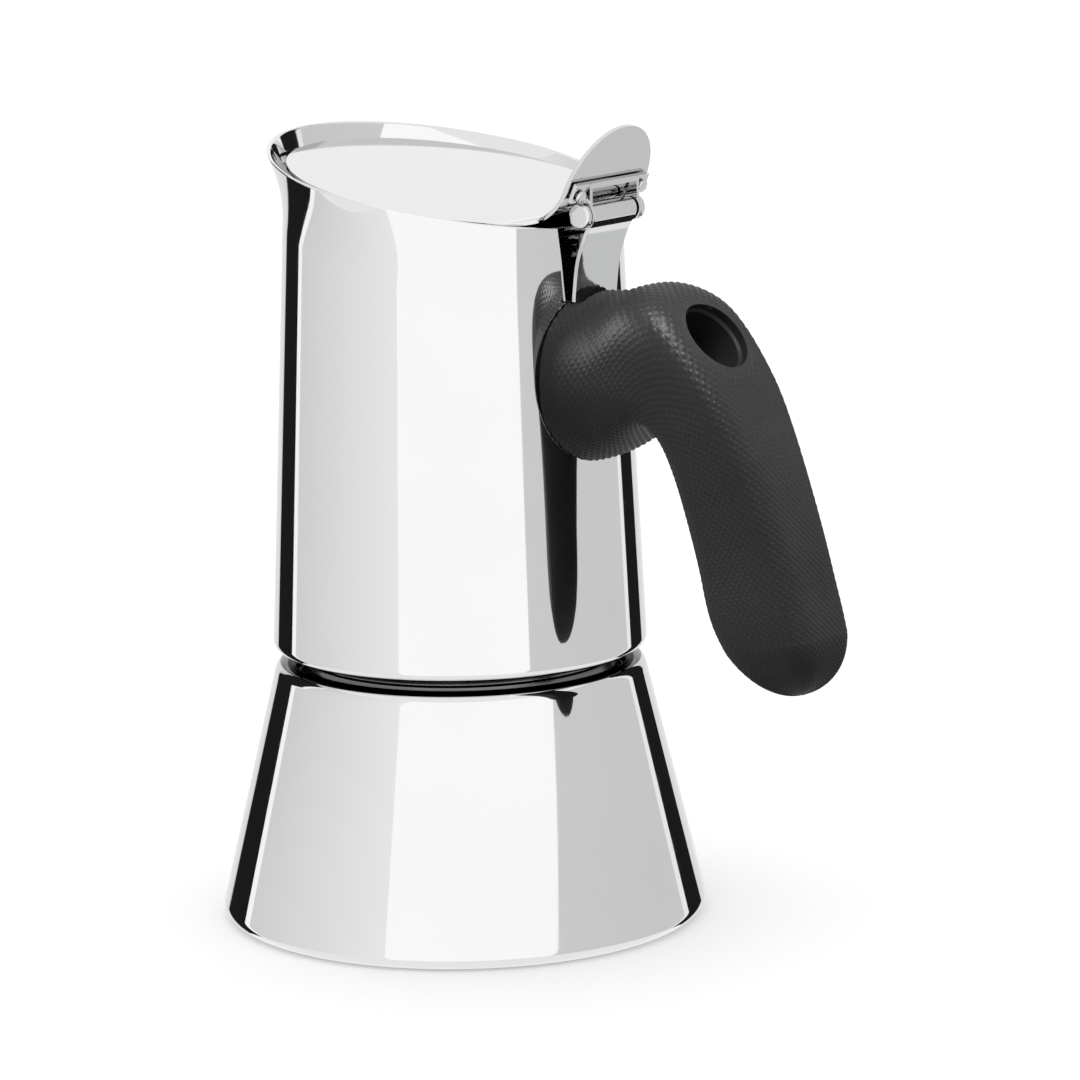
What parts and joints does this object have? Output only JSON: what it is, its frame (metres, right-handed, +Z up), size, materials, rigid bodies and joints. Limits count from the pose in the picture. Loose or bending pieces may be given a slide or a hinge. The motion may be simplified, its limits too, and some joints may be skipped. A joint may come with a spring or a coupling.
{
  "type": "moka pot",
  "caption": "Stove-top moka pot in polished steel: conical boiler, screw-on collector with slanted flared rim, hinged lid with thumb tab and curved black handle.",
  "frame": {"origin": "centre of the base disc's underside, on the surface the pot stands on", "axes": "+Z up along the pot's axis, +X towards the handle and the lid hinge, -X towards the pouring side"},
  "size_m": [0.1217, 0.0887, 0.1422],
  "materials": {
    "polished_steel": "mirror-polished stainless steel",
    "satin_steel": "satin stainless steel with fine turning marks",
    "valve_brass": "machined brass",
    "seal_rubber": "pale food-grade silicone",
    "handle_nylon": "black moulded nylon with a fine raised texture"
  },
  "bodies": {
    "boiler": {"boiler_shell": "polished_steel", "base_disc": "satin_steel", "neck_ring": "satin_steel", "valve_body": "valve_brass", "valve_washer": "satin_steel", "valve_nut": "valve_brass", "valve_retainer": "valve_brass", "valve_spring": "satin_steel"},
    "valve_pin": {"valve_plunger": "valve_brass"},
    "funnel": {"funnel_basket": "satin_steel", "funnel_stem": "satin_steel", "funnel_screen": "satin_steel"},
    "gasket": {"gasket": "seal_rubber"},
    "filter": {"filter_plate": "satin_steel"},
    "collector": {"collector_shell": "polished_steel", "thread_ring": "satin_steel", "collector_floor": "satin_steel", "coffee_column": "polished_steel", "column_cap": "polished_steel", "hinge_strap": "polished_steel", "hinge_pin": "polished_steel", "handle_bracket": "satin_steel", "handle": "handle_nylon", "handle_screw": "satin_steel"},
    "lid": {"lid": "polished_steel", "lid_bracket": "polished_steel", "lid_rivet_front": "polished_steel", "lid_rivet_back": "polished_steel"}
  },
  "joints": [
    {"name": "lid_hinge", "type": "hinge", "parent": "collector", "child": "lid", "pos_m": [0.0337, 0, 0.1272], "axis": [0, 1, 0], "range_deg": [0, 105]},
    {"name": "collector_turn", "type": "hinge", "parent": "filter", "child": "collector", "pos_m": [0, 0, 0.048], "axis": [0, 0, 1], "range_deg": [0, 540]},
    {"name": "thread_rise", "type": "slide", "parent": "gasket", "child": "filter", "axis": [0, 0, 1], "range_m": [0, 0.0045]},
    {"name": "collector_lift_off", "type": "slide", "parent": "boiler", "child": "gasket", "axis": [0, 0, 1], "range_m": [0, 0.11]},
    {"name": "funnel_lift", "type": "slide", "parent": "boiler", "child": "funnel", "axis": [0, 0, 1], "range_m": [0, 0.055]},
    {"name": "valve_lift", "type": "slide", "parent": "boiler", "child": "valve_pin", "axis": [0, 0.9725, 0.2328], "range_m": [0, 0.0008], "stiffness_N_per_m": 500, "springref_m": -0.002}
  ],
  "couplings": [
    {"joint": "thread_rise", "follows": "collector_turn", "m_per_rad": 0.00047746},
    {"joint": "funnel_lift", "follows": "collector_lift_off", "ratio": 0.5}
  ]
}
